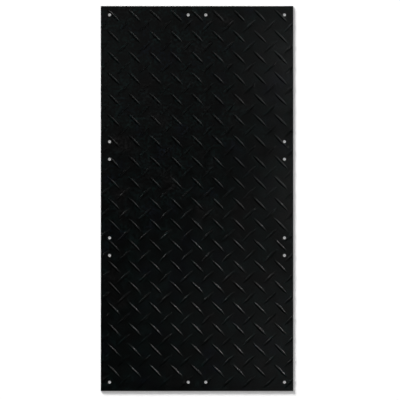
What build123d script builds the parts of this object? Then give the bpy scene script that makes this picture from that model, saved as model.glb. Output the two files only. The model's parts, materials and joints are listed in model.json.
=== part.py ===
from build123d import *
import os

# Driving sizes of the mat, in millimetres

mat_width = 1219.2
mat_length = 2438.4
plate_thickness = 12.7
edge_break = 0.8

# Driving sizes of the tread: slender oval bars, arched both along and across, laid
# crosswise to each other at 45 degrees

bar_length = 114.0
bar_width = 17.5
bar_height = 3.2
tread_pitch = 132.4
first_row_margin = 60.7

# Driving sizes of the drilled holes, for the pins or link plates between mats

hole_diameter = 19.05
hole_margin = 55.56
side_pair_offset = 304.8

# A bar is the top of a large ring. Its section is a small circle, and its crest
# follows a large one. Both rise by the bar's height, over its width and its length.


def arc_radius(chord, rise):
    """Radius of the arc that rises by this much over this chord."""
    return ((chord / 2) ** 2 + rise**2) / (2 * rise)


section_radius = arc_radius(bar_width, bar_height)
crest_radius = arc_radius(bar_length, bar_height)

# Rows of bars lie half a pitch apart. Odd rows stand half a pitch to the side of
# even rows, and their bars point the other way.

row_spacing = tread_pitch / 2
row_count = round((mat_length - 2 * first_row_margin) / row_spacing) + 1
first_row_y = mat_length / 2 - first_row_margin


def bar_places(first_row, first_column_x):
    """Centres of every second row's bars, wherever a centre falls on the mat."""
    places = []
    for row in range(first_row, row_count, 2):
        y = first_row_y - row * row_spacing
        x = first_column_x
        while x < mat_width / 2:
            places.append((x, y))
            if x > 0:
                places.append((-x, y))
            x += tread_pitch
    return places


falling_bars = bar_places(first_row=0, first_column_x=0)
rising_bars = bar_places(first_row=1, first_column_x=tread_pitch / 2)

# Holes stand a margin in from the edges. A pair's spacing is twice the margin, so
# that it matches the two corner holes of mats laid edge to edge.

pair_spacing = 2 * hole_margin
hole_row_x = mat_width / 2 - hole_margin
hole_row_y = mat_length / 2 - hole_margin
pair_half = pair_spacing / 2
end_holes = [
    (x, y)
    for y in (hole_row_y, -hole_row_y)
    for x in (-hole_row_x, -pair_half, pair_half, hole_row_x)
]
side_holes = [
    (x, pair_y + step)
    for x in (-hole_row_x, hole_row_x)
    for pair_y in (-side_pair_offset, side_pair_offset)
    for step in (-pair_half, pair_half)
]

# One bar, standing on its flat foot and lying along X: the ring above height zero

with BuildPart() as bar:
    with BuildSketch(Plane.YZ):
        with Locations((0, bar_height - section_radius)):
            Circle(section_radius)
    revolve(axis=Axis((0, 0, bar_height - crest_radius), (0, 1, 0)))
    split(bisect_by=Plane.XY)

# The mat: one moulded plate with its tread on top and a plain underside

with BuildPart() as ground_mat:
    Box(mat_width, mat_length, plate_thickness, align=(Align.CENTER, Align.CENTER, Align.MIN))
    chamfer(ground_mat.faces().sort_by(Axis.Z)[0].edges(), edge_break)
    with Locations(Plane.XY.offset(plate_thickness)):
        with Locations(*falling_bars):
            add(bar.part, rotation=(0, 0, -45))
        with Locations(*rising_bars):
            add(bar.part, rotation=(0, 0, 45))
    Box(
        mat_width,
        mat_length,
        plate_thickness + bar_height,
        align=(Align.CENTER, Align.CENTER, Align.MIN),
        mode=Mode.INTERSECT,
    )
    with Locations(*end_holes, *side_holes):
        Hole(hole_diameter / 2)

ground_mat.part.label = "ground_mat"
os.makedirs("parts", exist_ok=True)
export_step(ground_mat.part, "parts/ground_mat.step")

print("bars", len(falling_bars) + len(rising_bars))
print("holes", len(end_holes) + len(side_holes))
print("volume, litres", round(ground_mat.part.volume / 1e6, 3))
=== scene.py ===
"""A black ground protection mat, lying tread up on a white floor under soft studio light."""
import json
import math

import bmesh
import bpy
from mathutils import Matrix, Vector


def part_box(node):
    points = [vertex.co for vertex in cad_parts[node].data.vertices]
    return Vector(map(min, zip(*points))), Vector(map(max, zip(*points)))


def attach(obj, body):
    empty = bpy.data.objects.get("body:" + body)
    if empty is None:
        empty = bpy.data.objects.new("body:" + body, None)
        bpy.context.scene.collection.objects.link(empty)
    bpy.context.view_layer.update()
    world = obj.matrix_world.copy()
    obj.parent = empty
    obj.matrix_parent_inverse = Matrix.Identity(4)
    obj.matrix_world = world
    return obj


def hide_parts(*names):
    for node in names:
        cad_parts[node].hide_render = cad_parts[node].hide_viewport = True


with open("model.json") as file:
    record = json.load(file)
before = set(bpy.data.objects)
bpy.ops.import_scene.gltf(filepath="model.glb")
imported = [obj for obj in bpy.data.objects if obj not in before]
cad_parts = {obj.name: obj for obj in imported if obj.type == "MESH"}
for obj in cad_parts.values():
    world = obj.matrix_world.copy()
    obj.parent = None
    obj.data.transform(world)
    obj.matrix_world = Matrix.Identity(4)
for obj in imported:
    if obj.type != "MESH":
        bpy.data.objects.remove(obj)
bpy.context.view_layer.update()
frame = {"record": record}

MM = 0.001

# Camera, placed by the mat's length and centre in the photo, which is 400 pixels square

PHOTO_PIXELS = 400
MAT_LENGTH_PIXELS = 385.1
MAT_CENTRE_PIXELS = (196.99, 198.52)
LENS_MM = 200.0
SENSOR_MM = 36.0
CAMERA_REACH = 100.0

mat_low, mat_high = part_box("ground_mat")
mat_width = mat_high.x - mat_low.x
mat_length = mat_high.y - mat_low.y


def add_camera():
    """Looks straight down on the mat through a long lens, so that its outline stays square."""
    pixel = mat_length / MAT_LENGTH_PIXELS
    distance = PHOTO_PIXELS * pixel * LENS_MM / SENSOR_MM
    data = bpy.data.cameras.new("camera")
    data.lens = LENS_MM
    data.sensor_width = SENSOR_MM
    data.clip_end = CAMERA_REACH
    camera = bpy.data.objects.new("camera", data)
    camera.location = (
        (PHOTO_PIXELS / 2 - MAT_CENTRE_PIXELS[0]) * pixel,
        -(PHOTO_PIXELS / 2 - MAT_CENTRE_PIXELS[1]) * pixel,
        mat_high.z + distance,
    )
    bpy.context.scene.collection.objects.link(camera)
    bpy.context.scene.camera = camera


add_camera()

# Sizes of the plate and the tread, as in the solid

PLATE_THICKNESS = 12.7 * MM
LOWER_EDGE_BREAK = 0.8 * MM
BAR_LENGTH = 114.0 * MM
BAR_WIDTH = 17.5 * MM
BAR_HEIGHT = 3.2 * MM
BAR_TURN = math.radians(45)
TREAD_PITCH = 132.4 * MM
FIRST_ROW_MARGIN = 60.7 * MM

# Small edges that the solid leaves sharp: at a bar's foot, along the sawn edge and at the holes

FOOT_BLEND = 0.4 * MM
UPPER_EDGE_BREAK = 0.5 * MM
HOLE_EDGE_BREAK = 0.6 * MM

# How far a bar's foot and its skirt reach below the land, so that bar and plate join cleanly

FOOT_SINK = 0.02 * MM
SKIRT_DEPTH = 0.6 * MM

# Limits on the mesh: when a face is level, when an edge is sharp and when a triangle is too thin

LEVEL_NORMAL = 0.99999
SHARP_ANGLE = math.radians(40)
NO_HEIGHT = 0.001 * MM


def arc_radius(chord, rise):
    """Radius of the arc that rises by this much over this chord."""
    return ((chord / 2) ** 2 + rise**2) / (2 * rise)


section_radius = arc_radius(BAR_WIDTH, BAR_HEIGHT)
crest_radius = arc_radius(BAR_LENGTH, BAR_HEIGHT)
ring_radius = crest_radius - section_radius


def ring_height_at(along, across):
    """Height above the land of the ring whose top is the bar."""
    out = ring_radius + math.sqrt(section_radius**2 - across**2)
    return math.sqrt(out**2 - along**2) - (crest_radius - BAR_HEIGHT)


def bar_height_at(along, across):
    """The ring's height, with a soft fillet where it runs into the land."""
    height = ring_height_at(along, across)
    share = max(0.0, min(1.0, 0.5 + 0.5 * height / FOOT_BLEND))
    return height * share + FOOT_BLEND * share * (1 - share)


def half_width_at(along, level):
    """Half the width of the ring at a place along it and a level above the land."""
    out = math.hypot(crest_radius - BAR_HEIGHT + level, along) - ring_radius
    return math.sqrt(max(0.0, section_radius**2 - out**2))


def bar_mesh_lines():
    """The place of a bar's tip, and the mesh lines across the bar: where each lies along it,
    and its points from one foot to the other, which stand closest at the fillets."""
    fillet_level = -FOOT_BLEND
    tip = math.sqrt(crest_radius**2 - (crest_radius - BAR_HEIGHT + fillet_level) ** 2)
    stations = 9
    shares = (0.0, 0.28, 0.54, 0.76, 0.9, 0.95, 1.0)
    lines = []
    for i in range(-stations + 1, stations):
        along = tip * math.sin(math.pi / 2 * i / stations)
        outer = half_width_at(along, fillet_level)
        half = [outer * share for share in shares]
        lines.append((along, [-t for t in reversed(half[1:])] + half))
    return tip, lines


def add_bar(mesh, place, tip, lines):
    """Adds one closed bar, its skirt just below the land, to the bmesh."""
    rings = []
    for along, across_places in lines:
        ring = []
        for across in across_places:
            height = bar_height_at(along, across) - FOOT_SINK
            ring.append(mesh.verts.new(place @ Vector((along, across, height))))
        rings.append(ring)
    near = mesh.verts.new(place @ Vector((-tip, 0, -FOOT_SINK)))
    far = mesh.verts.new(place @ Vector((tip, 0, -FOOT_SINK)))
    for ring, after in zip(rings, rings[1:]):
        for k in range(len(ring) - 1):
            mesh.faces.new((ring[k], after[k], after[k + 1], ring[k + 1]))
    for k in range(len(rings[0]) - 1):
        mesh.faces.new((near, rings[0][k], rings[0][k + 1]))
        mesh.faces.new((far, rings[-1][k + 1], rings[-1][k]))
    rim = [near] + [r[0] for r in rings] + [far] + [r[-1] for r in reversed(rings)]
    skirt = [mesh.verts.new(v.co - Vector((0, 0, SKIRT_DEPTH))) for v in rim]
    for k in range(len(rim)):
        n = (k + 1) % len(rim)
        mesh.faces.new((rim[k], skirt[k], skirt[n], rim[n]))
    mesh.faces.new(skirt)


def bar_places():
    """Place and turn of every bar. Rows alternate in direction and step half a pitch."""
    row_spacing = TREAD_PITCH / 2
    rows = round((mat_length - 2 * FIRST_ROW_MARGIN) / row_spacing) + 1
    for row in range(rows):
        y = mat_length / 2 - FIRST_ROW_MARGIN - row * row_spacing
        falling = row % 2 == 0
        turn = Matrix.Rotation(-BAR_TURN if falling else BAR_TURN, 4, "Z")
        x = 0 if falling else row_spacing
        while x < mat_width / 2:
            for side in (1, -1) if x > 0 else (1,):
                yield Matrix.Translation((side * x, y, PLATE_THICKNESS)) @ turn
            x += TREAD_PITCH


def hole_places():
    """Centres and radius of the drilled holes, from the mounts. The end pairs have no mount of
    their own. Their holes are as far apart as a side pair's."""
    mounts = {mount["name"]: mount for mount in frame["record"]["mounts"]}
    corner = mounts["corner_holes"]["dims"]
    half_x, half_y = corner["spacing_x_mm"] / 2 * MM, corner["spacing_y_mm"] / 2 * MM
    side_pairs = [mount for name, mount in mounts.items() if name.endswith("_pair")]
    pair_half = side_pairs[0]["dims"]["spacing_y_mm"] / 2 * MM
    centres = [(sx * half_x, sy * half_y) for sx in (-1, 1) for sy in (-1, 1)]
    for pair in side_pairs:
        x, y, _ = pair["pos_m"]
        centres += [(x, y - pair_half), (x, y + pair_half)]
    centres += [(sx * pair_half, sy * half_y) for sx in (-1, 1) for sy in (-1, 1)]
    return centres, corner["hole_r_mm"] * MM


def make_object(name, mesh):
    """Turns a bmesh into an object in the scene."""
    data = bpy.data.meshes.new(name)
    mesh.normal_update()
    mesh.to_mesh(data)
    mesh.free()
    piece = bpy.data.objects.new(name, data)
    bpy.context.scene.collection.objects.link(piece)
    return piece


def add_solid(mesh, outlines):
    """Adds a closed solid that runs up through outlines of as many points each."""
    rings = [[mesh.verts.new(point) for point in outline] for outline in outlines]
    for ring, above in zip(rings, rings[1:]):
        for k in range(len(ring)):
            n = (k + 1) % len(ring)
            mesh.faces.new((ring[k], ring[n], above[n], above[k]))
    mesh.faces.new(list(reversed(rings[0])))
    mesh.faces.new(rings[-1])


def mat_outline(inset, z):
    """Corners of the mat's rectangle at a height, each side moved in by the inset."""
    x, y = mat_width / 2 - inset, mat_length / 2 - inset
    return [(-x, -y, z), (x, -y, z), (x, y, z), (-x, y, z)]


def circle(x, y, radius, z, segments=48):
    turns = [2 * math.pi * k / segments for k in range(segments)]
    return [(x + radius * math.cos(turn), y + radius * math.sin(turn), z) for turn in turns]


def make_plate():
    """The plate without its tread, the lower edge broken."""
    mesh = bmesh.new()
    outlines = [
        mat_outline(LOWER_EDGE_BREAK, 0),
        mat_outline(0, LOWER_EDGE_BREAK),
        mat_outline(0, PLATE_THICKNESS),
    ]
    add_solid(mesh, outlines)
    return make_object("moulded_mat", mesh)


def make_bars():
    """All the bars in one mesh, each a closed solid."""
    mesh = bmesh.new()
    tip, lines = bar_mesh_lines()
    for place in bar_places():
        add_bar(mesh, place, tip, lines)
    bmesh.ops.recalc_face_normals(mesh, faces=mesh.faces)
    return make_object("bars", mesh)


def make_trim():
    """What stays when the edges are sawn and their upper corner is broken."""
    mesh = bmesh.new()
    outlines = [
        mat_outline(0, -PLATE_THICKNESS),
        mat_outline(0, PLATE_THICKNESS - UPPER_EDGE_BREAK),
        mat_outline(UPPER_EDGE_BREAK, PLATE_THICKNESS),
        mat_outline(UPPER_EDGE_BREAK, 2 * PLATE_THICKNESS),
    ]
    add_solid(mesh, outlines)
    return make_object("trim", mesh)


def make_drills():
    """Drills with a small collar at each face of the plate, which breaks the holes' edges."""
    centres, radius = hole_places()
    wide = radius + HOLE_EDGE_BREAK
    mesh = bmesh.new()
    for x, y in centres:
        outlines = [
            circle(x, y, wide, -PLATE_THICKNESS),
            circle(x, y, wide, 0),
            circle(x, y, radius, HOLE_EDGE_BREAK),
            circle(x, y, radius, PLATE_THICKNESS - HOLE_EDGE_BREAK),
            circle(x, y, wide, PLATE_THICKNESS),
            circle(x, y, wide, 2 * PLATE_THICKNESS),
        ]
        add_solid(mesh, outlines)
    return make_object("drills", mesh)


def cut_or_join(piece, tool, operation):
    """Joins the tool to the piece, or cuts the piece with it, and removes the tool."""
    modifier = piece.modifiers.new(operation, "BOOLEAN")
    modifier.operation = operation
    modifier.solver = "MANIFOLD"
    modifier.object = tool
    evaluated = piece.evaluated_get(bpy.context.evaluated_depsgraph_get())
    result = bpy.data.meshes.new_from_object(evaluated)
    result.materials.clear()
    piece.modifiers.clear()
    piece.data = result
    bpy.data.objects.remove(tool)


def split_large_faces(piece):
    """Splits the many-sided faces that the cuts leave into well-shaped triangles, so that none
    folds back on its neighbour, and closes the triangles that have no height."""
    mesh = bmesh.new()
    mesh.from_mesh(piece.data)
    large = [face for face in mesh.faces if len(face.verts) > 4]
    bmesh.ops.triangulate(mesh, faces=large, ngon_method="BEAUTY")
    bmesh.ops.dissolve_degenerate(mesh, dist=NO_HEIGHT, edges=mesh.edges)
    mesh.to_mesh(piece.data)
    mesh.free()


def shade_mat(piece):
    """Flat shading on the land and the underside, and smooth shading on the rest. The edges
    of the flat faces are sharp, and so are those where smooth faces meet at a wide angle. An
    edge without two faces counts as the widest."""
    above_land = PLATE_THICKNESS + MM
    for polygon in piece.data.polygons:
        level = abs(polygon.normal.z) > LEVEL_NORMAL
        polygon.use_smooth = not level or polygon.center.z > above_land
    mesh = bmesh.new()
    mesh.from_mesh(piece.data)
    for edge in mesh.edges:
        smooth_faces = all(face.smooth for face in edge.link_faces)
        edge.smooth = smooth_faces and edge.calc_face_angle(math.pi) < SHARP_ANGLE
    mesh.to_mesh(piece.data)
    mesh.free()


mat = make_plate()
cut_or_join(mat, make_bars(), "UNION")
cut_or_join(mat, make_trim(), "INTERSECT")
cut_or_join(mat, make_drills(), "DIFFERENCE")
split_large_faces(mat)
shade_mat(mat)

# Node helpers


def add_node(tree, kind, **settings):
    node = tree.nodes.new(kind)
    for name, value in settings.items():
        setattr(node, name, value)
    return node


def feed(tree, socket, value):
    """Links a socket to a node's output, or sets it to a number."""
    if isinstance(value, bpy.types.NodeSocket):
        tree.links.new(value, socket)
    else:
        socket.default_value = value


def calculate(tree, operation, first, second=0.0):
    node = add_node(tree, "ShaderNodeMath", operation=operation)
    feed(tree, node.inputs[0], first)
    feed(tree, node.inputs[1], second)
    return node.outputs[0]


def add_layer(tree, value, pattern, amount):
    """The value, and on top of it a pattern times an amount."""
    return calculate(tree, "ADD", value, calculate(tree, "MULTIPLY", pattern, amount))


def remap(tree, value, low, high, to_low=0.0, to_high=1.0):
    """A value that runs from to_low to to_high while the input runs from low to high."""
    node = add_node(tree, "ShaderNodeMapRange")
    feed(tree, node.inputs["Value"], value)
    node.inputs["From Min"].default_value = low
    node.inputs["From Max"].default_value = high
    node.inputs["To Min"].default_value = to_low
    node.inputs["To Max"].default_value = to_high
    return node.outputs["Result"]


def noise(tree, coordinates, scale, detail=2.0):
    """Soft noise with about as many lumps to a unit of its coordinates as the scale says."""
    node = add_node(tree, "ShaderNodeTexNoise")
    feed(tree, node.inputs["Vector"], coordinates)
    node.inputs["Scale"].default_value = scale
    node.inputs["Detail"].default_value = detail
    return node.outputs["Fac"]


def axes_of(tree, vector):
    """The X, Y and Z outputs of a vector."""
    node = add_node(tree, "ShaderNodeSeparateXYZ")
    tree.links.new(vector, node.inputs[0])
    return node.outputs


def is_seen(tree):
    """1 for what the camera sees, straight or by reflection or through glass, otherwise 0."""
    path = add_node(tree, "ShaderNodeLightPath")
    mirrored = calculate(tree, "MAXIMUM", path.outputs["Is Camera Ray"], path.outputs["Is Glossy Ray"])
    return calculate(tree, "MAXIMUM", mirrored, path.outputs["Is Transmission Ray"])


# Material


def scuffs(tree, position, turn, stretch):
    """1 on sparse, thin, long marks that all run about one way, otherwise 0."""
    mapping = add_node(tree, "ShaderNodeMapping")
    feed(tree, mapping.inputs["Vector"], position)
    mapping.inputs["Rotation"].default_value = (0, 0, math.radians(turn))
    mapping.inputs["Scale"].default_value = stretch
    marks = noise(tree, mapping.outputs["Vector"], scale=1.0, detail=3.0)
    return remap(tree, marks, low=0.70, high=0.76)


def black_patches(tree, position):
    """Slow patches of a slightly cooler or warmer black."""
    tints = [
        (0.36, (0.0005, 0.0009, 0.0015, 1)),
        (0.46, (0.0004, 0.0013, 0.0012, 1)),
        (0.56, (0.0006, 0.0013, 0.0013, 1)),
        (0.66, (0.0012, 0.0012, 0.0012, 1)),
    ]
    patches = add_node(tree, "ShaderNodeValToRGB")
    feed(tree, patches.inputs["Fac"], noise(tree, position, scale=5.0))
    ramp = patches.color_ramp
    while len(ramp.elements) < len(tints):
        ramp.elements.new(1.0)
    for element, (place, tint) in zip(ramp.elements, tints):
        element.position = place
        element.color = tint
    return patches.outputs["Color"]


def plastic_colour(tree, position, scuffed, cut):
    """The patches of black, mottled in two sizes, and paler on scuffs and cut faces."""
    scuff_lightness, cut_lightness = 0.4, 1.5
    coarse = noise(tree, position, scale=13.0, detail=1.0)
    coarse = remap(tree, coarse, low=0.35, high=0.65, to_low=0.4, to_high=1.6)
    speckle = noise(tree, position, scale=70.0, detail=1.0)
    speckle = remap(tree, speckle, low=0.44, high=0.64, to_low=0.0, to_high=2.9)
    lightness = calculate(tree, "MULTIPLY", coarse, speckle)
    lightness = add_layer(tree, lightness, scuffed, scuff_lightness)
    lightness = add_layer(tree, lightness, cut, cut_lightness)
    colour = add_node(tree, "ShaderNodeVectorMath", operation="SCALE")
    feed(tree, colour.inputs[0], black_patches(tree, position))
    feed(tree, colour.inputs["Scale"], lightness)
    return colour.outputs["Vector"]


def plastic_roughness(tree, position, crest, scuffed, cut):
    """Satin, uneven over a few centimetres, smoother where feet polish the crests, and rougher
    on scuffs and cut faces."""
    crest_change, scuff_change, cut_change = -0.015, 0.03, 0.12
    cloud = noise(tree, position, scale=28.0, detail=3.0)
    cloud = remap(tree, cloud, low=0.3, high=0.7, to_low=0.285, to_high=0.355)
    broad = noise(tree, position, scale=7.0, detail=1.0)
    broad = remap(tree, broad, low=0.35, high=0.65, to_low=-0.008, to_high=0.008)
    rough = calculate(tree, "ADD", cloud, broad)
    rough = add_layer(tree, rough, crest, crest_change)
    rough = add_layer(tree, rough, scuffed, scuff_change)
    return add_layer(tree, rough, cut, cut_change)


def plastic_relief(tree, position, cut):
    """The mould's grain in two sizes on slow waves, and saw marks on the cut faces."""
    relief_height = 0.03 * MM
    fine_amount, wave_amount, saw_amount = 0.12, 5.0, 1.2
    grain = noise(tree, position, scale=330.0, detail=3.0)
    grain = add_layer(tree, grain, noise(tree, position, scale=1400.0), fine_amount)
    grain = add_layer(tree, grain, noise(tree, position, scale=75.0, detail=1.0), wave_amount)
    grain = calculate(tree, "MULTIPLY", grain, calculate(tree, "SUBTRACT", 1.0, cut))
    saw = add_node(tree, "ShaderNodeTexWave", bands_direction="DIAGONAL")
    feed(tree, saw.inputs["Vector"], position)
    saw.inputs["Scale"].default_value = 340.0
    saw.inputs["Distortion"].default_value = 3.0
    saw.inputs["Detail"].default_value = 3.0
    saw_marks = calculate(tree, "MULTIPLY", saw.outputs["Fac"], cut)
    bump = add_node(tree, "ShaderNodeBump")
    bump.inputs["Distance"].default_value = relief_height
    feed(tree, bump.inputs["Height"], add_layer(tree, grain, saw_marks, saw_amount))
    return bump.outputs["Normal"]


def plastic_material():
    """Carbon-black polyethylene, moulded with a fine grain, a little polished on the crests of
    the tread, scuffed here and there, and sawn and drilled at the edges."""
    material = bpy.data.materials.new("black_polyethylene")
    material.use_nodes = True
    tree = material.node_tree
    shader = tree.nodes["Principled BSDF"]
    shader.inputs["IOR"].default_value = 1.5
    position = add_node(tree, "ShaderNodeTexCoord").outputs["Object"]
    normal = add_node(tree, "ShaderNodeNewGeometry").outputs["Normal"]

    # Cut faces stand upright, and crests are the upper half of the bars
    levelness = calculate(tree, "ABSOLUTE", axes_of(tree, normal)["Z"])
    cut = remap(tree, levelness, low=0.5, high=0.4)
    crest_low = PLATE_THICKNESS + 0.5 * BAR_HEIGHT
    crest_high = PLATE_THICKNESS + BAR_HEIGHT
    crest = remap(tree, axes_of(tree, position)["Z"], low=crest_low, high=crest_high)
    first_scuffs = scuffs(tree, position, turn=28, stretch=(5, 260, 5))
    second_scuffs = scuffs(tree, position, turn=-56, stretch=(6, 300, 6))
    scuffed = calculate(tree, "MAXIMUM", first_scuffs, second_scuffs)

    tree.links.new(plastic_colour(tree, position, scuffed, cut), shader.inputs["Base Color"])
    rough = plastic_roughness(tree, position, crest, scuffed, cut)
    tree.links.new(rough, shader.inputs["Roughness"])
    tree.links.new(plastic_relief(tree, position, cut), shader.inputs["Normal"])
    return material


mat.data.materials.append(plastic_material())
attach(mat, "root")
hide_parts("ground_mat")

# Studio

FLOOR_ALBEDO = 0.8
FLOOR_GLOW = 0.285
FLOOR_REACH = 30.0
KEY_DISTANCE = 5.0


def add_floor():
    """A white floor. Part of its white is the key lights on it, and the rest is a glow that
    keeps the mat's shadow pale."""
    mesh = bmesh.new()
    bmesh.ops.create_grid(mesh, x_segments=1, y_segments=1, size=FLOOR_REACH)
    floor = make_object("floor", mesh)
    material = bpy.data.materials.new("white_floor")
    material.use_nodes = True
    tree = material.node_tree
    shader = tree.nodes["Principled BSDF"]
    shader.inputs["Base Color"].default_value = (FLOOR_ALBEDO, FLOOR_ALBEDO, FLOOR_ALBEDO, 1)
    shader.inputs["Roughness"].default_value = 0.9
    shader.inputs["Specular IOR Level"].default_value = 0.0
    shader.inputs["Emission Color"].default_value = (1, 1, 1, 1)
    glow = calculate(tree, "MULTIPLY", is_seen(tree), FLOOR_GLOW)
    tree.links.new(glow, shader.inputs["Emission Strength"])
    floor.data.materials.append(material)


def add_world():
    """A dark room that brightens at the horizon, with a dim wall on each of its four sides,
    which the land mirrors when it is seen from low down."""
    horizon, overhead, wall = 0.8, 0.005, 0.13
    horizon_top = 0.26
    world = bpy.data.worlds.new("studio")
    world.use_nodes = True
    bpy.context.scene.world = world
    tree = world.node_tree
    axes = axes_of(tree, add_node(tree, "ShaderNodeTexCoord").outputs["Generated"])
    room = remap(tree, axes["Z"], low=0.0, high=horizon_top, to_low=horizon, to_high=overhead)

    # Sideways is 1 towards the middle of a wall and 0 towards a corner or straight up
    across = calculate(tree, "POWER", axes["X"], 2.0)
    along = calculate(tree, "POWER", axes["Y"], 2.0)
    sideways = calculate(tree, "ABSOLUTE", calculate(tree, "SUBTRACT", across, along))
    walls = remap(tree, sideways, low=0.5, high=0.8, to_high=wall)
    background = tree.nodes["Background"]
    background.inputs["Color"].default_value = (1, 1, 1, 1)
    feed(tree, background.inputs["Strength"], calculate(tree, "MAXIMUM", room, walls))


def towards(azimuth, elevation):
    """Unit vector to a place in the sky. Azimuth turns from +X, the photo's right, to +Y, its top."""
    turn, rise = math.radians(azimuth), math.radians(elevation)
    return Vector((math.cos(turn) * math.cos(rise), math.sin(turn) * math.cos(rise), math.sin(rise)))


def add_lamp(name, data, place, direction):
    """Puts a lamp at a place, with its back to this direction."""
    lamp = bpy.data.objects.new(name, data)
    lamp.location = place
    lamp.rotation_mode = "QUATERNION"
    lamp.rotation_quaternion = (-direction).to_track_quat("-Z", "Y")
    bpy.context.scene.collection.objects.link(lamp)
    return lamp


def add_key(name, azimuth, elevation, width, floor_light):
    """A wide sun that gives the bare floor this much light and casts a shadow. The gloss
    doesn't mirror it."""
    data = bpy.data.lights.new(name, "SUN")
    data.angle = math.radians(width)
    data.energy = floor_light * math.pi / (FLOOR_ALBEDO * math.sin(math.radians(elevation)))
    direction = towards(azimuth, elevation)
    lamp = add_lamp(name, data, direction * KEY_DISTANCE, direction)
    lamp.visible_glossy = False


def add_panel(name, azimuth, elevation, distance, size, watts, aim=(0, 0, 0), spread=180):
    """A round soft panel that only the gloss sees. A small spread makes it a beam."""
    data = bpy.data.lights.new(name, "AREA")
    data.shape = "DISK"
    data.size = size
    data.energy = watts
    data.spread = math.radians(spread)
    direction = towards(azimuth, elevation)
    lamp = add_lamp(name, data, Vector(aim) + direction * distance, direction)
    lamp.visible_diffuse = False
    lamp.visible_camera = False


add_floor()
add_world()

# Two key lights from the photo's upper left cast the shadow, and panels put the sheen on the tread

add_key("low_key", azimuth=123.5, elevation=22.7, width=17, floor_light=0.575)
add_key("high_key", azimuth=123.5, elevation=53, width=35, floor_light=0.155)
add_panel("main_sheen", azimuth=45, elevation=36, distance=7.0, size=2.24, watts=31.0)
add_panel("far_sheen", azimuth=90, elevation=8, distance=3.2, size=1.02, watts=79.0)
add_panel("high_sheen", azimuth=45, elevation=70, distance=5.0, size=1.6, watts=2.1)
add_panel("right_fill", azimuth=315, elevation=70, distance=5.0, size=1.6, watts=2.8)
add_panel("left_fill", azimuth=135, elevation=70, distance=5.0, size=1.6, watts=1.55)

# Beams on the near end and the right edge, which shine more than the rest in the photo

near_end, near_right = (0, -1.0, 0), (0.8, -0.9, 0)
right_far, right_middle = (0.75, 0.85, 0), (0.75, 0.1, 0)
add_panel(
    "near_sheen", azimuth=30, elevation=24, distance=5.5, size=1.3, watts=1.45, aim=near_end, spread=12
)
add_panel(
    "near_high", azimuth=45, elevation=48, distance=5.5, size=1.3, watts=0.3, aim=near_end, spread=12
)
add_panel(
    "near_low", azimuth=150, elevation=20, distance=4.5, size=1.0, watts=0.9, aim=near_right, spread=10
)
add_panel(
    "edge_far", azimuth=0, elevation=70, distance=5.0, size=0.6, watts=0.08, aim=right_far, spread=8
)
add_panel(
    "edge_middle", azimuth=0, elevation=70, distance=5.0, size=0.6, watts=0.08, aim=right_middle, spread=8
)

bpy.context.scene.view_settings.view_transform = "Standard"
